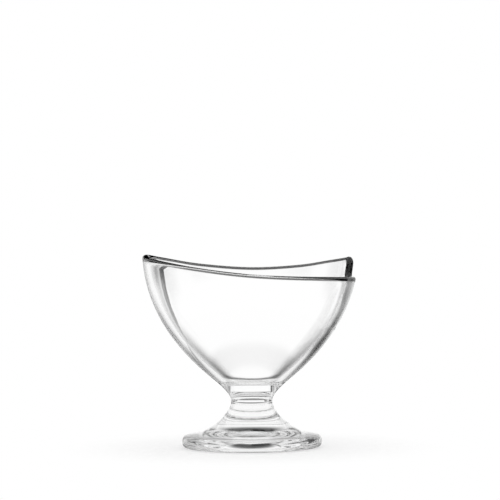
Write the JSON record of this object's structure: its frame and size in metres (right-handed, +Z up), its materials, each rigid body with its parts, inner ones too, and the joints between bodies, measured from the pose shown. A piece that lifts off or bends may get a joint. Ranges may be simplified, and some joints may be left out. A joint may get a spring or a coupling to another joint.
{
  "type": "ice cream cup",
  "caption": "Footed ice cream cup in clear pressed glass: a round bowl with a stepped wave rim on a short waisted stem and a disc foot.",
  "frame": {"origin": "centre of the circle that the foot stands on", "axes": "+Z up along the stem's axis; +X towards the low side of the rim, with the step a little behind it; -Y is the pictured front; the rim's tip is at -X"},
  "size_m": [0.1049, 0.1045, 0.0952],
  "materials": {
    "clear_glass": "clear, fire-polished gloss"
  },
  "bodies": {
    "root": {"bowl": "clear_glass", "stem": "clear_glass", "foot": "clear_glass"}
  },
  "joints": []
}
